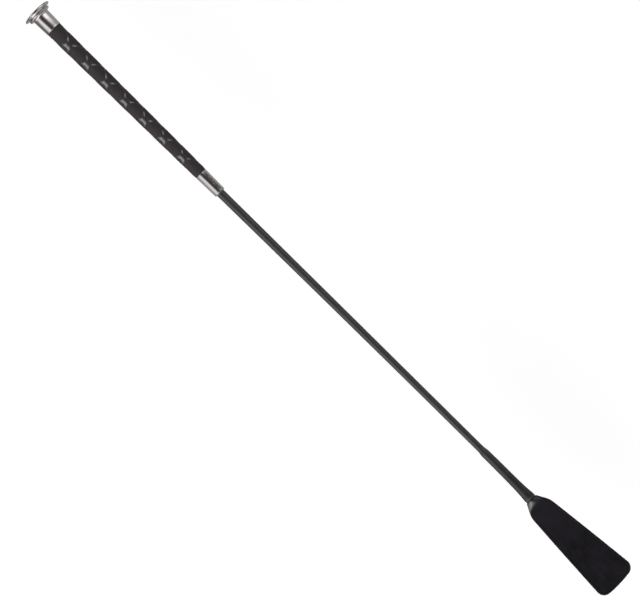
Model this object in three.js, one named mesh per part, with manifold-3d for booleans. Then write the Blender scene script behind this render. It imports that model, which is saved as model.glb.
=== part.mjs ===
// Riding crop, a short jumping bat: polished metal cap, rubber grip, metal ferrule, a fibreglass
// shaft in a braided cover, and a two-leaf leather flap whose tang is bound under the braid.
//
// Millimetres. +X runs down the shaft from the cap to the flap, the flap lies in the XY plane and
// +Z is up. The origin is the centre of the small flat at the top of the cap.
import * as THREE from 'three';
import { mergeVertices } from 'three/addons/utils/BufferGeometryUtils.js';
import Module from 'manifold-3d';

// ---------------------------------------------------------------- driving dimensions
const OVERALL_LENGTH = 650;
const FIT_GAP = 0.03; // between pieces that are pressed or glued together
const ROUND = 36; // facets round a visible turned piece
const ROUND_HIDDEN = 24; // facets round a piece that is hidden inside

// Cap: a domed crown on the flange of a flared collar.
const CROWN_RADIUS = 12.45;
const CROWN_FLAT_RADIUS = 4;
const CROWN_DOME_RADIUS = 55;
const CROWN_SHOULDER_RADIUS = 9.5; // where the dome turns down into the rim
const CROWN_RIM_START = 1.9; // where the rim is at its widest
const CROWN_DEPTH = 2.6;
const CROWN_SHEET = 0.9;
const CROWN_LIP = 0.6;
const FLANGE_RADIUS = 10.1;
const FLANGE_GROOVE_RADIUS = 9;
const FLANGE_GROOVE_WIDTH = 1.1;
const FLANGE_END = 5.3;
const COLLAR_START = CROWN_DEPTH - CROWN_LIP; // the flange is pressed into the crown's lip
const COLLAR_NECK = 6.8;
const COLLAR_END = 21;
const COLLAR_TOP_RADIUS = 7.35;
const COLLAR_END_RADIUS = 6.98;
const COLLAR_SHEET = 0.65;
const NAIL_HEAD_RADIUS = 2.6;
const NAIL_SHANK_RADIUS = 0.8;
const NAIL_END = 11;
const PLUG_START = 2;

// Handle: a rubber sleeve over a build-up tube, closed below by a ferrule.
const GRIP_START = COLLAR_END + 0.05;
const GRIP_END = 184.5;
const GRIP_TOP_RADIUS = 6.62;
const GRIP_END_RADIUS = 5.26;
const HANDLE_CORE_END = 188;
const HANDLE_CORE_TOP_RADIUS = 4.7;
const HANDLE_CORE_END_RADIUS = 4.18;
const FERRULE_START = 180.6;
const FERRULE_END = 206;
const FERRULE_SPIGOT_RADIUS = 4.76; // the part inside the grip
const FERRULE_TOP_RADIUS = 5.2;
const FERRULE_END_RADIUS = 4.85;
const FERRULE_BORE_RADIUS = 4.31;

// Shaft: a tapered rod in a braided cover, which swells where it runs over the flap's tang.
const ROD_START = 12;
const ROD_END = 548.4;
const ROD_TANG_RADIUS = 2.18; // ground down where the tang lies on it
const ROD_TIP_RADIUS = 1.95;
const COVER_START = 188.4;
const COVER_END = 552.4;
const COVER_THICKNESS = 0.45;
const SHAFT_BUTT_RADIUS = 3.5;
const SHAFT_TIP_RADIUS = 2.87;
const SHAFT_TAPER_POWER = 1.8;
const SHOULDER_START = 495.8;
const SHOULDER_END = 501.5;
const NECK_RADIUS = 3.5;
const NECK_END_HALF_WIDTH = 5;
const NECK_END_HALF_HEIGHT = 3.3;

// Tang: the narrow ends of the two leather leaves, held on the rod by a thread binding.
const TANG_START = 500;
const TANG_THICKNESS = 0.47;
const BINDING_START = 502.5;
const BINDING_END = 544.4;
const BINDING_THICKNESS = 0.2;

// Flap: two leather leaves, sewn together, that bend about a line just past the braid.
const BEND_X = 560;
const LEAF_THICKNESS = 1.6;
const GLUE_LINE = 0.05;
const BEND_GAP = 0.35;
const FLAP_START = 552.8;
const FLAP_SHOULDER_START = 551.2;
const FLAP_SHOULDER_END = 566.5;
const FLAP_SHOULDER_HALF_WIDTH = 10.9;
const FLAP_SHOULDER_DROP = 4.85; // how far the neck is drawn in from the line of the side
const FLAP_SHOULDER_HASTE = 0.85; // below 1, the shoulder opens sooner than it closes
const FLAP_SIDE_SLOPE = 0.0825;
const FLAP_CORNER_RADIUS = 6;
const FLAP_END_BOW = 0.65;
const SEAM_INSET = 2.6;
const SEAM_START = 566;
const SEAM_STEPS = 48;
const THREAD_RADIUS = 0.3;
const THREAD_DEPTH = 0.38; // from the leaf's face to the thread's centre line
const GROOVE_RADIUS = 0.42;

// ---------------------------------------------------------------- materials
const finish = (color, roughness, metalness) => new THREE.MeshStandardMaterial({ color, roughness, metalness });
const nickel = finish(0xded6d2, 0.14, 1);
const steel = finish(0x9a9a9c, 0.4, 1);
const beech = finish(0xb08d62, 0.75, 0);
const rubber = finish(0x363335, 0.7, 0);
const plastic = finish(0x2a2a2c, 0.5, 0);
const fibreglass = finish(0xc9c2ae, 0.35, 0);
const braid = finish(0x2c2a2c, 0.45, 0);
const thread = finish(0x18171a, 0.6, 0);
const leather = finish(0x1a181c, 0.6, 0);

// ---------------------------------------------------------------- shared shape functions
const between = (start, end, x) => THREE.MathUtils.mapLinear(x, start[0], end[0], start[1], end[1]);
const ramp = (x, start, end) => THREE.MathUtils.smoothstep(x, start, end);

// Outside of the braided cover: plain taper, then the shoulder over the tang, then the flat neck.
function shaftRadius(x) {
  const along = THREE.MathUtils.clamp((x - FERRULE_END) / (SHOULDER_START - FERRULE_END), 0, 1);
  return SHAFT_TIP_RADIUS + (SHAFT_BUTT_RADIUS - SHAFT_TIP_RADIUS) * (1 - along) ** SHAFT_TAPER_POWER;
}

function neckProgress(x) {
  return THREE.MathUtils.clamp((x - SHOULDER_END) / (COVER_END - SHOULDER_END), 0, 1);
}

function coverHalfWidth(x) {
  const shoulder = (NECK_RADIUS - SHAFT_TIP_RADIUS) * ramp(x, SHOULDER_START, SHOULDER_END);
  const gentle = 0.3 * neckProgress(x);
  const flare = (NECK_END_HALF_WIDTH - NECK_RADIUS - 0.3) * neckProgress(x) ** 7;
  return shaftRadius(x) + shoulder + gentle + flare;
}

function coverHalfHeight(x) {
  const shoulder = (NECK_RADIUS - SHAFT_TIP_RADIUS) * ramp(x, SHOULDER_START, SHOULDER_END);
  const flattening = (NECK_RADIUS - NECK_END_HALF_HEIGHT) * neckProgress(x) ** 4;
  return shaftRadius(x) + shoulder - flattening;
}

function rodRadius(x) {
  const underCover = shaftRadius(x) - COVER_THICKNESS - FIT_GAP;
  const underTang = between([TANG_START, ROD_TANG_RADIUS], [ROD_END, ROD_TIP_RADIUS], x);
  return x > SHOULDER_START ? underTang : underCover;
}

function collarRadius(x) {
  return between([COLLAR_NECK, COLLAR_TOP_RADIUS], [COLLAR_END, COLLAR_END_RADIUS], x);
}

function gripRadius(x) {
  return between([GRIP_START, GRIP_TOP_RADIUS], [GRIP_END, GRIP_END_RADIUS], x);
}

function handleCoreRadius(x) {
  return between([GRIP_START, HANDLE_CORE_TOP_RADIUS], [HANDLE_CORE_END, HANDLE_CORE_END_RADIUS], x);
}

function ferruleRadius(x) {
  return between([GRIP_END, FERRULE_TOP_RADIUS], [FERRULE_END, FERRULE_END_RADIUS], x);
}

// Half the flap's width: a straight, widening side, drawn in to the neck along an S curve.
function flapHalfWidth(x) {
  const side = FLAP_SHOULDER_HALF_WIDTH + FLAP_SIDE_SLOPE * (x - FLAP_SHOULDER_END);
  const shoulder = (x - FLAP_SHOULDER_START) / (FLAP_SHOULDER_END - FLAP_SHOULDER_START);
  const opening = THREE.MathUtils.clamp(shoulder, 0, 1) ** FLAP_SHOULDER_HASTE;
  return side - FLAP_SHOULDER_DROP * (1 - ramp(opening, 0, 1));
}

// ---------------------------------------------------------------- geometry helpers
// A profile of [x, radius] points turned about the X axis. An open profile starts and ends on the
// axis; a tube's profile comes back to its first point.
function turned(profile, facets) {
  const points = profile.map(([x, radius]) => new THREE.Vector2(radius, x));
  return new THREE.LatheGeometry(points, facets).rotateZ(-Math.PI / 2);
}

// A tube between an outer and an inner radius function, with rings at the given stations.
function sleeve(stations, outer, inner, facets) {
  const outside = stations.map((x) => [x, outer(x)]);
  const inside = stations.map((x) => [x, inner(x)]).reverse();
  return turned([...outside, ...inside, outside[0]], facets);
}

// Presses a turned sleeve to the oval of the cover's neck, keeping its depth below the cover's face.
function pressOval(geometry) {
  const position = geometry.attributes.position;
  for (let i = 0; i < position.count; i += 1) {
    const x = position.getX(i);
    const radius = Math.hypot(position.getY(i), position.getZ(i));
    const depth = coverHalfWidth(x) - radius;
    const squeeze = (coverHalfHeight(x) - depth) / radius;
    position.setZ(i, position.getZ(i) * squeeze);
  }
  return geometry;
}

function arcPoints(centre, radii, startAngle, endAngle, steps) {
  const points = [];
  for (let i = 0; i <= steps; i += 1) {
    const angle = THREE.MathUtils.lerp(startAngle, endAngle, i / steps);
    points.push([centre[0] + radii[0] * Math.cos(angle), centre[1] + radii[1] * Math.sin(angle)]);
  }
  return points;
}

function stationsBetween(start, end, count) {
  return Array.from({ length: count + 1 }, (_, i) => THREE.MathUtils.lerp(start, end, i / count));
}

// ---------------------------------------------------------------- joining and cutting
const wasm = await Module();
wasm.setup();

function toSolid(geometry) {
  const bare = geometry.clone();
  bare.deleteAttribute('normal');
  bare.deleteAttribute('uv');
  const welded = mergeVertices(bare, 1e-4);
  return new wasm.Manifold(new wasm.Mesh({
    numProp: 3,
    vertProperties: new Float32Array(welded.attributes.position.array),
    triVerts: new Uint32Array(welded.index.array),
  }));
}

function fromSolid(solid) {
  const result = solid.getMesh();
  const geometry = new THREE.BufferGeometry();
  geometry.setAttribute('position', new THREE.BufferAttribute(result.vertProperties, 3));
  geometry.setIndex(new THREE.BufferAttribute(result.triVerts, 1));
  return geometry;
}

// ---------------------------------------------------------------- cap
// Height of the dome's surface below the flat, at a radius.
function domeDrop(radius, domeRadius) {
  const sagitta = (r) => domeRadius - Math.sqrt(domeRadius ** 2 - r ** 2);
  return sagitta(radius) - sagitta(CROWN_FLAT_RADIUS);
}

function capCrown() {
  const outerRadii = stationsBetween(CROWN_FLAT_RADIUS, CROWN_SHOULDER_RADIUS, 2);
  const innerRadii = stationsBetween(CROWN_FLAT_RADIUS, CROWN_RADIUS - 1.5, 4).reverse();
  const outside = outerRadii.map((radius) => [domeDrop(radius, CROWN_DOME_RADIUS), radius]);
  const shoulder = new THREE.QuadraticBezierCurve(
    new THREE.Vector2(...outside.at(-1)),
    new THREE.Vector2(outside.at(-1)[0] + 0.5, CROWN_RADIUS),
    new THREE.Vector2(CROWN_RIM_START, CROWN_RADIUS),
  ).getPoints(5).slice(1).map((point) => point.toArray());
  const innerDome = CROWN_DOME_RADIUS - CROWN_SHEET;
  const inside = innerRadii.map((radius) => [CROWN_SHEET + domeDrop(radius, innerDome), radius]);
  const lipTop = CROWN_DEPTH - CROWN_LIP;
  const lipRadius = FLANGE_RADIUS + 0.05;
  return turned([
    [0, 0],
    ...outside,
    ...shoulder,
    [CROWN_DEPTH - 0.3, CROWN_RADIUS],
    [CROWN_DEPTH, CROWN_RADIUS - 0.35],
    [CROWN_DEPTH, lipRadius],
    [lipTop, lipRadius],
    [lipTop, CROWN_RADIUS - 1.5],
    ...inside,
    [CROWN_SHEET, 0],
  ], ROUND);
}

function capCollar() {
  const boreRadius = COLLAR_TOP_RADIUS - COLLAR_SHEET;
  const flareRadii = [COLLAR_NECK - FLANGE_END, FLANGE_RADIUS - 0.25 - COLLAR_TOP_RADIUS];
  const flare = arcPoints([COLLAR_NECK, FLANGE_RADIUS - 0.25], flareRadii, Math.PI, Math.PI * 1.5, 5);
  const profile = [
    [COLLAR_START, boreRadius],
    [COLLAR_START, FLANGE_RADIUS - 0.3],
    [COLLAR_START + 0.3, FLANGE_RADIUS],
    [CROWN_DEPTH + 0.05, FLANGE_RADIUS],
    [CROWN_DEPTH + 0.2, FLANGE_GROOVE_RADIUS],
    [CROWN_DEPTH + FLANGE_GROOVE_WIDTH - 0.3, FLANGE_GROOVE_RADIUS],
    [CROWN_DEPTH + FLANGE_GROOVE_WIDTH, FLANGE_RADIUS - 0.3],
    [CROWN_DEPTH + FLANGE_GROOVE_WIDTH + 0.4, FLANGE_RADIUS],
    [FLANGE_END - 0.35, FLANGE_RADIUS],
    ...flare,
    [COLLAR_END - 0.2, COLLAR_END_RADIUS],
    [COLLAR_END, COLLAR_END_RADIUS - 0.15],
    [COLLAR_END, COLLAR_END_RADIUS - COLLAR_SHEET],
    [COLLAR_NECK, boreRadius],
    [COLLAR_START, boreRadius],
  ];
  return turned(profile, ROUND);
}

function crownNail() {
  const headStart = CROWN_SHEET + FIT_GAP;
  return turned([
    [headStart, 0],
    [headStart, NAIL_HEAD_RADIUS],
    [headStart + 0.5, NAIL_HEAD_RADIUS],
    [headStart + 0.9, NAIL_SHANK_RADIUS],
    [NAIL_END - 1.5, NAIL_SHANK_RADIUS],
    [NAIL_END, 0],
  ], ROUND_HIDDEN);
}

function capPlug() {
  const holeRadius = NAIL_SHANK_RADIUS + 0.05;
  const rodHole = rodRadius(ROD_START) + FIT_GAP;
  const end = COLLAR_END - 0.2;
  const outer = (x) => collarRadius(Math.max(x, COLLAR_NECK)) - COLLAR_SHEET - FIT_GAP;
  return turned([
    [PLUG_START, holeRadius],
    [PLUG_START, outer(PLUG_START)],
    [COLLAR_NECK, outer(COLLAR_NECK)],
    [end, outer(end)],
    [end, rodHole],
    [ROD_START - 0.2, rodHole],
    [ROD_START - 0.2, holeRadius],
    [PLUG_START, holeRadius],
  ], ROUND_HIDDEN);
}

// ---------------------------------------------------------------- handle
function gripSleeve() {
  const endRound = 2;
  const endDrop = 0.45;
  const pocket = FERRULE_SPIGOT_RADIUS + FIT_GAP;
  const bore = (x) => handleCoreRadius(x) + FIT_GAP;
  const shoulder = gripRadius(GRIP_END - endRound);
  const roundOff = arcPoints([GRIP_END - endRound, shoulder - endDrop], [endRound, endDrop], Math.PI / 2, 0, 4);
  return turned([
    [GRIP_START, bore(GRIP_START)],
    [GRIP_START, GRIP_TOP_RADIUS - 0.35],
    [GRIP_START + 0.15, GRIP_TOP_RADIUS - 0.1],
    [GRIP_START + 0.6, gripRadius(GRIP_START + 0.6)],
    ...roundOff,
    [GRIP_END, pocket],
    [FERRULE_START - 0.2, pocket],
    [FERRULE_START - 0.2, bore(FERRULE_START)],
    [GRIP_START, bore(GRIP_START)],
  ], ROUND);
}

function handleCore() {
  const stations = [GRIP_START + 0.1, HANDLE_CORE_END];
  const bore = () => rodRadius(ROD_START) + FIT_GAP;
  return sleeve(stations, handleCoreRadius, bore, ROUND_HIDDEN);
}

function lowerFerrule() {
  const shoulder = GRIP_END + FIT_GAP;
  const lipRadius = SHAFT_BUTT_RADIUS + 0.2;
  const lipStart = FERRULE_END - 0.45;
  return turned([
    [FERRULE_START, FERRULE_BORE_RADIUS],
    [FERRULE_START, FERRULE_SPIGOT_RADIUS],
    [shoulder, FERRULE_SPIGOT_RADIUS],
    [shoulder, FERRULE_TOP_RADIUS - 0.1],
    [shoulder + 0.1, FERRULE_TOP_RADIUS],
    [FERRULE_END - 0.45, ferruleRadius(FERRULE_END - 0.45)],
    [FERRULE_END - 0.12, FERRULE_END_RADIUS - 0.14],
    [FERRULE_END, FERRULE_END_RADIUS - 0.4],
    [FERRULE_END, lipRadius],
    [lipStart, lipRadius],
    [lipStart, FERRULE_BORE_RADIUS],
    [FERRULE_START, FERRULE_BORE_RADIUS],
  ], ROUND);
}

function ferruleBush() {
  const stations = [HANDLE_CORE_END + 0.3, FERRULE_END - 0.5];
  const outer = () => FERRULE_BORE_RADIUS - FIT_GAP;
  return sleeve(stations, outer, () => SHAFT_BUTT_RADIUS + FIT_GAP, ROUND_HIDDEN);
}

// ---------------------------------------------------------------- shaft
const PLAIN_STATIONS = stationsBetween(FERRULE_END, SHOULDER_START, 5);
const SHOULDER_STATIONS = stationsBetween(SHOULDER_START, SHOULDER_END, 3).slice(1);
const NECK_STATIONS = [527, 537, 542.2, 545.8, 548.4, 550.6, COVER_END];

function coreRod() {
  const stations = [ROD_START, ...PLAIN_STATIONS, TANG_START - 1, ROD_END];
  return turned([[ROD_START, 0], ...stations.map((x) => [x, rodRadius(x)]), [ROD_END, 0]], ROUND_HIDDEN);
}

function braidedCover() {
  const stations = [COVER_START, ...PLAIN_STATIONS, ...SHOULDER_STATIONS, ...NECK_STATIONS];
  const inner = (x) => coverHalfWidth(x) - COVER_THICKNESS;
  return pressOval(sleeve(stations, coverHalfWidth, inner, ROUND));
}

function tangBinding() {
  const stations = [BINDING_START, ...NECK_STATIONS.filter((x) => x < BINDING_END), BINDING_END];
  const outer = (x) => coverHalfWidth(x) - COVER_THICKNESS - FIT_GAP;
  const inner = (x) => outer(x) - BINDING_THICKNESS;
  return pressOval(sleeve(stations, outer, inner, ROUND_HIDDEN));
}

// ---------------------------------------------------------------- leather leaves
const TANG_DEPTH = COVER_THICKNESS + BINDING_THICKNESS + 3 * FIT_GAP;
const ROOT_END = BEND_X - LEAF_THICKNESS - GLUE_LINE - BEND_GAP;

// A leaf's root: a half sleeve round the rod that opens into the flat neck of the flap. A half ring
// of radii 1 and 2 is drawn out, and each of its points then goes to its place in the leather.
function leafRoot(side) {
  const ring = new THREE.Shape();
  ring.absarc(0, 0, 2, 0, Math.PI, false);
  ring.absarc(0, 0, 1, Math.PI, 0, true);
  const options = { depth: 1, steps: 16, curveSegments: ROUND_HIDDEN / 4, bevelEnabled: false };
  const geometry = new THREE.ExtrudeGeometry(ring, options);
  const position = geometry.attributes.position;
  for (let i = 0; i < position.count; i += 1) {
    const angle = Math.atan2(position.getY(i), position.getX(i));
    const outside = Math.hypot(position.getX(i), position.getY(i)) > 1.5;
    const along = 1 - (1 - position.getZ(i)) ** 2;
    const x = THREE.MathUtils.lerp(TANG_START, ROOT_END, along);
    const depth = TANG_DEPTH + (outside ? 0 : TANG_THICKNESS);
    const flatness = ramp(x, COVER_END - 0.6, ROOT_END - 0.6);
    const roundWidth = coverHalfWidth(x) - depth;
    const roundHeight = (coverHalfHeight(x) - depth) * Math.sin(angle) + GLUE_LINE / 2;
    const flatHeight = GLUE_LINE / 2 + (outside ? LEAF_THICKNESS : 0);
    const width = THREE.MathUtils.lerp(roundWidth, flapHalfWidth(x), flatness);
    const height = THREE.MathUtils.lerp(roundHeight, flatHeight, flatness);
    position.setXYZ(i, x, width * Math.cos(angle) * side, height * side);
  }
  return geometry;
}

// The flap's outline, or the same line drawn in by an inset, from one neck corner to the other.
function flapLine(path, startX, inset) {
  const start = Math.min(startX, FLAP_SHOULDER_END);
  const slant = Math.atan(FLAP_SIDE_SLOPE);
  const endX = OVERALL_LENGTH - FLAP_END_BOW;
  const cornerX = endX - FLAP_CORNER_RADIUS;
  const cornerY = flapHalfWidth(cornerX) - FLAP_CORNER_RADIUS / Math.cos(slant);
  const radius = FLAP_CORNER_RADIUS - inset;
  const shoulder = stationsBetween(start, FLAP_SHOULDER_END, 9);
  shoulder.forEach((x, i) => {
    const y = -(flapHalfWidth(x) - inset);
    if (i === 0) path.moveTo(x, y);
    else path.lineTo(x, y);
  });
  path.absarc(cornerX, -cornerY, radius, -Math.PI / 2 - slant, 0, false);
  path.quadraticCurveTo(endX + 2 * FLAP_END_BOW - inset, 0, endX - inset, cornerY);
  path.absarc(cornerX, cornerY, radius, 0, Math.PI / 2 + slant, false);
  shoulder.reverse().forEach((x) => path.lineTo(x, flapHalfWidth(x) - inset));
  return path;
}

// Room for the blades: a bar with a round nose about the bend line, as long as the flap.
function bladeRoom() {
  const radius = LEAF_THICKNESS + GLUE_LINE;
  const side = new THREE.Shape();
  side.absarc(BEND_X, 0, radius, Math.PI / 2, Math.PI * 1.5, false);
  side.lineTo(OVERALL_LENGTH + 5, -radius);
  side.lineTo(OVERALL_LENGTH + 5, radius);
  const bar = new THREE.ExtrudeGeometry(side, { depth: 60, curveSegments: 6, bevelEnabled: false });
  return bar.translate(0, 0, -30).rotateX(Math.PI / 2);
}

// A bar that follows the seam, with a round section of the given radius.
function seamBar(radius, height) {
  const line = flapLine(new THREE.Path(), SEAM_START, SEAM_INSET).getSpacedPoints(SEAM_STEPS);
  const path = new THREE.CatmullRomCurve3(line.map((point) => new THREE.Vector3(point.x, point.y, height)));
  const section = new THREE.Shape();
  section.absarc(0, 0, radius, 0, Math.PI * 2, false);
  return new THREE.ExtrudeGeometry(section, {
    steps: SEAM_STEPS, curveSegments: 3, bevelEnabled: false, extrudePath: path,
  });
}

const threadHeight = (side) => side * (GLUE_LINE / 2 + LEAF_THICKNESS - THREAD_DEPTH);

// A leaf's blade: the flap's outline in leather, with a round nose at the bend and a seam groove.
function leafBlade(side) {
  const outline = flapLine(new THREE.Shape(), FLAP_START, 0);
  const options = { depth: LEAF_THICKNESS, curveSegments: 5, bevelEnabled: false };
  const slab = new THREE.ExtrudeGeometry(outline, options);
  slab.translate(0, 0, side > 0 ? GLUE_LINE / 2 : -GLUE_LINE / 2 - LEAF_THICKNESS);
  const blade = toSolid(slab).intersect(toSolid(bladeRoom()));
  return fromSolid(blade.subtract(toSolid(seamBar(GROOVE_RADIUS, threadHeight(side)))));
}

// ---------------------------------------------------------------- the assembly
const crop = new THREE.Group();

function addPiece(parent, name, geometry, material) {
  const piece = new THREE.Mesh(geometry, material);
  piece.name = name;
  parent.add(piece);
}

const handle = new THREE.Group();
addPiece(handle, 'cap_crown', capCrown(), nickel);
addPiece(handle, 'cap_collar', capCollar(), nickel);
addPiece(handle, 'crown_nail', crownNail(), steel);
addPiece(handle, 'cap_plug', capPlug(), beech);
addPiece(handle, 'grip_sleeve', gripSleeve(), rubber);
addPiece(handle, 'handle_core', handleCore(), plastic);
addPiece(handle, 'lower_ferrule', lowerFerrule(), nickel);
addPiece(handle, 'ferrule_bush', ferruleBush(), plastic);

const shaft = new THREE.Group();
addPiece(shaft, 'core_rod', coreRod(), fibreglass);
addPiece(shaft, 'braided_cover', braidedCover(), braid);
addPiece(shaft, 'tang_binding', tangBinding(), thread);
addPiece(shaft, 'front_leaf_tang', leafRoot(1), leather);
addPiece(shaft, 'back_leaf_tang', leafRoot(-1), leather);

const flap = new THREE.Group();
addPiece(flap, 'front_leaf_blade', leafBlade(1), leather);
addPiece(flap, 'back_leaf_blade', leafBlade(-1), leather);
addPiece(flap, 'front_seam_thread', seamBar(THREAD_RADIUS, threadHeight(1)), thread);
addPiece(flap, 'back_seam_thread', seamBar(THREAD_RADIUS, threadHeight(-1)), thread);

crop.add(handle, shaft, flap);

export default crop;
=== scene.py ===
"""A riding crop: polished cap and ferrule, moulded rubber grip, braided shaft and stitched leather flap.

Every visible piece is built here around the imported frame. +X runs down the shaft from the cap, the
flap lies in the XY plane and +Z is up. Shapes are worked out in millimetres and stored in metres.
"""
import math

import bpy
import numpy as np
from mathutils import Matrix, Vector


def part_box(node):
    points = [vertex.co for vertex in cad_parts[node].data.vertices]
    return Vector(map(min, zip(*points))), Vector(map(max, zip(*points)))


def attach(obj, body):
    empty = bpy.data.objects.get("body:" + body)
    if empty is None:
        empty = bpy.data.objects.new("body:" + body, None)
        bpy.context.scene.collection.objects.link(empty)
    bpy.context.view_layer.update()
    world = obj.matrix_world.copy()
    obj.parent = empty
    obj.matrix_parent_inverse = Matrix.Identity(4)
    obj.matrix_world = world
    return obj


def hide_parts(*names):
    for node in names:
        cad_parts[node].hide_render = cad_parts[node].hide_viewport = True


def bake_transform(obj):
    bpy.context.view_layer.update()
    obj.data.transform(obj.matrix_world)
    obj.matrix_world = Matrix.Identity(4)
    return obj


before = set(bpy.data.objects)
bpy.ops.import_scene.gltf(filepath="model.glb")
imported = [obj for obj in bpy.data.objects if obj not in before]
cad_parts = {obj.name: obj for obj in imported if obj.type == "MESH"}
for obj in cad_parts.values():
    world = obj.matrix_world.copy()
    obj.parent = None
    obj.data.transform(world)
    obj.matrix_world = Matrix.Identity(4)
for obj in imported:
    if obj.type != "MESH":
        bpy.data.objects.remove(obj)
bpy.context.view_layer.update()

MM = 0.001


def box_mm(node):
    """Lowest and highest corner of a CAD node, in millimetres."""
    low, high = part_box(node)
    return np.array(low) / MM, np.array(high) / MM


# ---- sizes, in millimetres
_, CROWN_HIGH = box_mm("cap_crown")
COLLAR_LOW, COLLAR_HIGH = box_mm("cap_collar")
GRIP_LOW, GRIP_HIGH = box_mm("grip_sleeve")
FERRULE_LOW, FERRULE_HIGH = box_mm("lower_ferrule")
_, COVER_HIGH = box_mm("braided_cover")
TANG_LOW, _ = box_mm("front_leaf_tang")
BLADE_LOW, BLADE_HIGH = box_mm("front_leaf_blade")

CROWN_RADIUS = CROWN_HIGH[2]
CROWN_FLAT_RADIUS = 4.0
CROWN_DOME_RADIUS = 55.0
CROWN_SHOULDER_RADIUS = 9.5
CROWN_RIM_START = 1.9  # where the dome's shoulder meets the plain rim
CROWN_SHEET = 0.9
CROWN_WALL = 1.5
CROWN_LIP = 0.6
FLANGE_GROOVE_RADIUS = 8.8
FLANGE_GROOVE_RISE = 0.45  # the groove's floor climbs this much towards the crown
FLANGE_GROOVE_WIDTH = 1.1
FLANGE_END = 5.3
COLLAR_NECK = 6.8  # where the flare below the flange ends
FLARE_INSET = 0.6  # how far the flare starts inside the flange's edge
COLLAR_TOP_RADIUS = 7.35
COLLAR_END_RADIUS = 6.98
COLLAR_SHEET = 0.65
GRIP_TOP_RADIUS = GRIP_HIGH[2]
GRIP_END_RADIUS = 5.26
GRIP_BORE_RADIUS = 4.85
FERRULE_SPIGOT_RADIUS = 4.76  # the part inside the grip
FERRULE_END_RADIUS = 4.85
FERRULE_BORE_RADIUS = 4.31

SHAFT_BUTT_RADIUS = 3.5
SHAFT_TIP_RADIUS = 2.87
SHAFT_TAPER_POWER = 1.8
SHOULDER_START = 495.8
SHOULDER_END = 501.5
NECK_RADIUS = 3.5
NECK_SWELL = 0.3  # the neck widens by this much before it flares
NECK_END_HALF_HEIGHT = 3.3
COVER_THICKNESS = 0.45

TANG_DEPTH = 0.74  # from the cover's face to the leather beneath it
TANG_THICKNESS = 0.47
LEAF_FACE = BLADE_HIGH[2]  # height of the flap's upper face
LEAF_BACK = BLADE_LOW[2]  # height of the glue line, on the same leaf
FLAP_START = 552.8
FLAP_SHOULDER_START = 551.2
FLAP_SHOULDER_END = 566.5
FLAP_SHOULDER_HALF_WIDTH = 10.9
FLAP_SHOULDER_DROP = 4.85  # how far the shoulder draws each side in
FLAP_SHOULDER_HASTE = 0.85  # below 1, the shoulder opens sooner than it closes
FLAP_SIDE_SLOPE = 0.0825
FLAP_SIDE_BULGE = 0.25
FLAP_CORNER_RADIUS = 6.0
FLAP_END_BOW = 1.5  # how far the end's middle stands out past its corners
FLAP_SKEW = 0.0175  # the flap leans this much towards +Y, as hand-cut and hand-set leather does
SHAFT_BOW = 0.2  # to +Y, at the middle of the shaft
FLAP_STRAY = 0.48  # to -Y, from the flap's shoulder on
SEAM_INSET = 2.6
SEAM_START = 569.0
STITCH_LENGTH = 3.1
THREAD_RADIUS = 0.27


# ---- shape functions
def progress(x, start, end):
    """How far x is on its way from start to end, from 0 to 1."""
    return np.clip((x - start) / (end - start), 0, 1)


def ramp(x, start, end):
    """A smooth step from 0 at start to 1 at end."""
    t = progress(np.asarray(x, float), start, end)
    return t * t * (3 - 2 * t)


def lerp(a, b, t):
    return a + (b - a) * t


def shaft_radius(x):
    """Radius of the plain, tapered part of the braided cover."""
    left = 1 - progress(x, FERRULE_HIGH[0], SHOULDER_START)
    return lerp(SHAFT_TIP_RADIUS, SHAFT_BUTT_RADIUS, left**SHAFT_TAPER_POWER)


def tang_shoulder(x):
    """How far the cover rises over the end of the tang beneath it."""
    return (NECK_RADIUS - SHAFT_TIP_RADIUS) * ramp(x, SHOULDER_START, SHOULDER_END)


def neck_progress(x):
    return progress(x, SHOULDER_END, COVER_HIGH[0])


def cover_half_width(x):
    """Half the cover's width in Y: the taper, the shoulder over the tang and the flare to the flap."""
    flare = (COVER_HIGH[1] - NECK_RADIUS - NECK_SWELL) * neck_progress(x) ** 7
    return shaft_radius(x) + tang_shoulder(x) + NECK_SWELL * neck_progress(x) + flare


def cover_half_height(x):
    """Half the cover's height in Z, which gets a little less towards the flap."""
    sinking = (NECK_RADIUS - NECK_END_HALF_HEIGHT) * neck_progress(x) ** 4
    return shaft_radius(x) + tang_shoulder(x) - sinking


def flap_half_width(x):
    """Half the flap's width: a widening side, drawn in to the neck along an S curve."""
    side = FLAP_SHOULDER_HALF_WIDTH + FLAP_SIDE_SLOPE * (x - FLAP_SHOULDER_END)
    bulge = FLAP_SIDE_BULGE * np.sin(math.pi * progress(x, FLAP_SHOULDER_END, BLADE_HIGH[0]))
    opening = progress(x, FLAP_SHOULDER_START, FLAP_SHOULDER_END) ** FLAP_SHOULDER_HASTE
    return side + bulge - FLAP_SHOULDER_DROP * (1 - ramp(opening, 0, 1))


def sideways_bow(x):
    """How far the springy shaft and the flap have strayed to one side of a straight line."""
    bow = SHAFT_BOW * np.sin(math.pi * progress(x, FERRULE_HIGH[0], SHOULDER_START))
    return bow - FLAP_STRAY * ramp(x, SHOULDER_END + 8, FLAP_SHOULDER_END)


# ---- mesh helpers
def full_turn(steps):
    """Evenly spaced angles round a circle."""
    return np.arange(steps) * 2 * math.pi / steps


def strip(ids):
    """Quads between neighbours in a table of vertex numbers."""
    corners = [ids[:-1, :-1], ids[1:, :-1], ids[1:, 1:], ids[:-1, 1:]]
    return np.stack(corners, axis=-1).reshape(-1, 4)


def tube(ids, closed=False):
    """Quads between the rings of a table of vertex numbers, whose rows are the rings."""
    ids = np.hstack([ids, ids[:, :1]])
    if closed:
        ids = np.vstack([ids, ids[:1]])
    return strip(ids)[:, [0, 3, 2, 1]]


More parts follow.
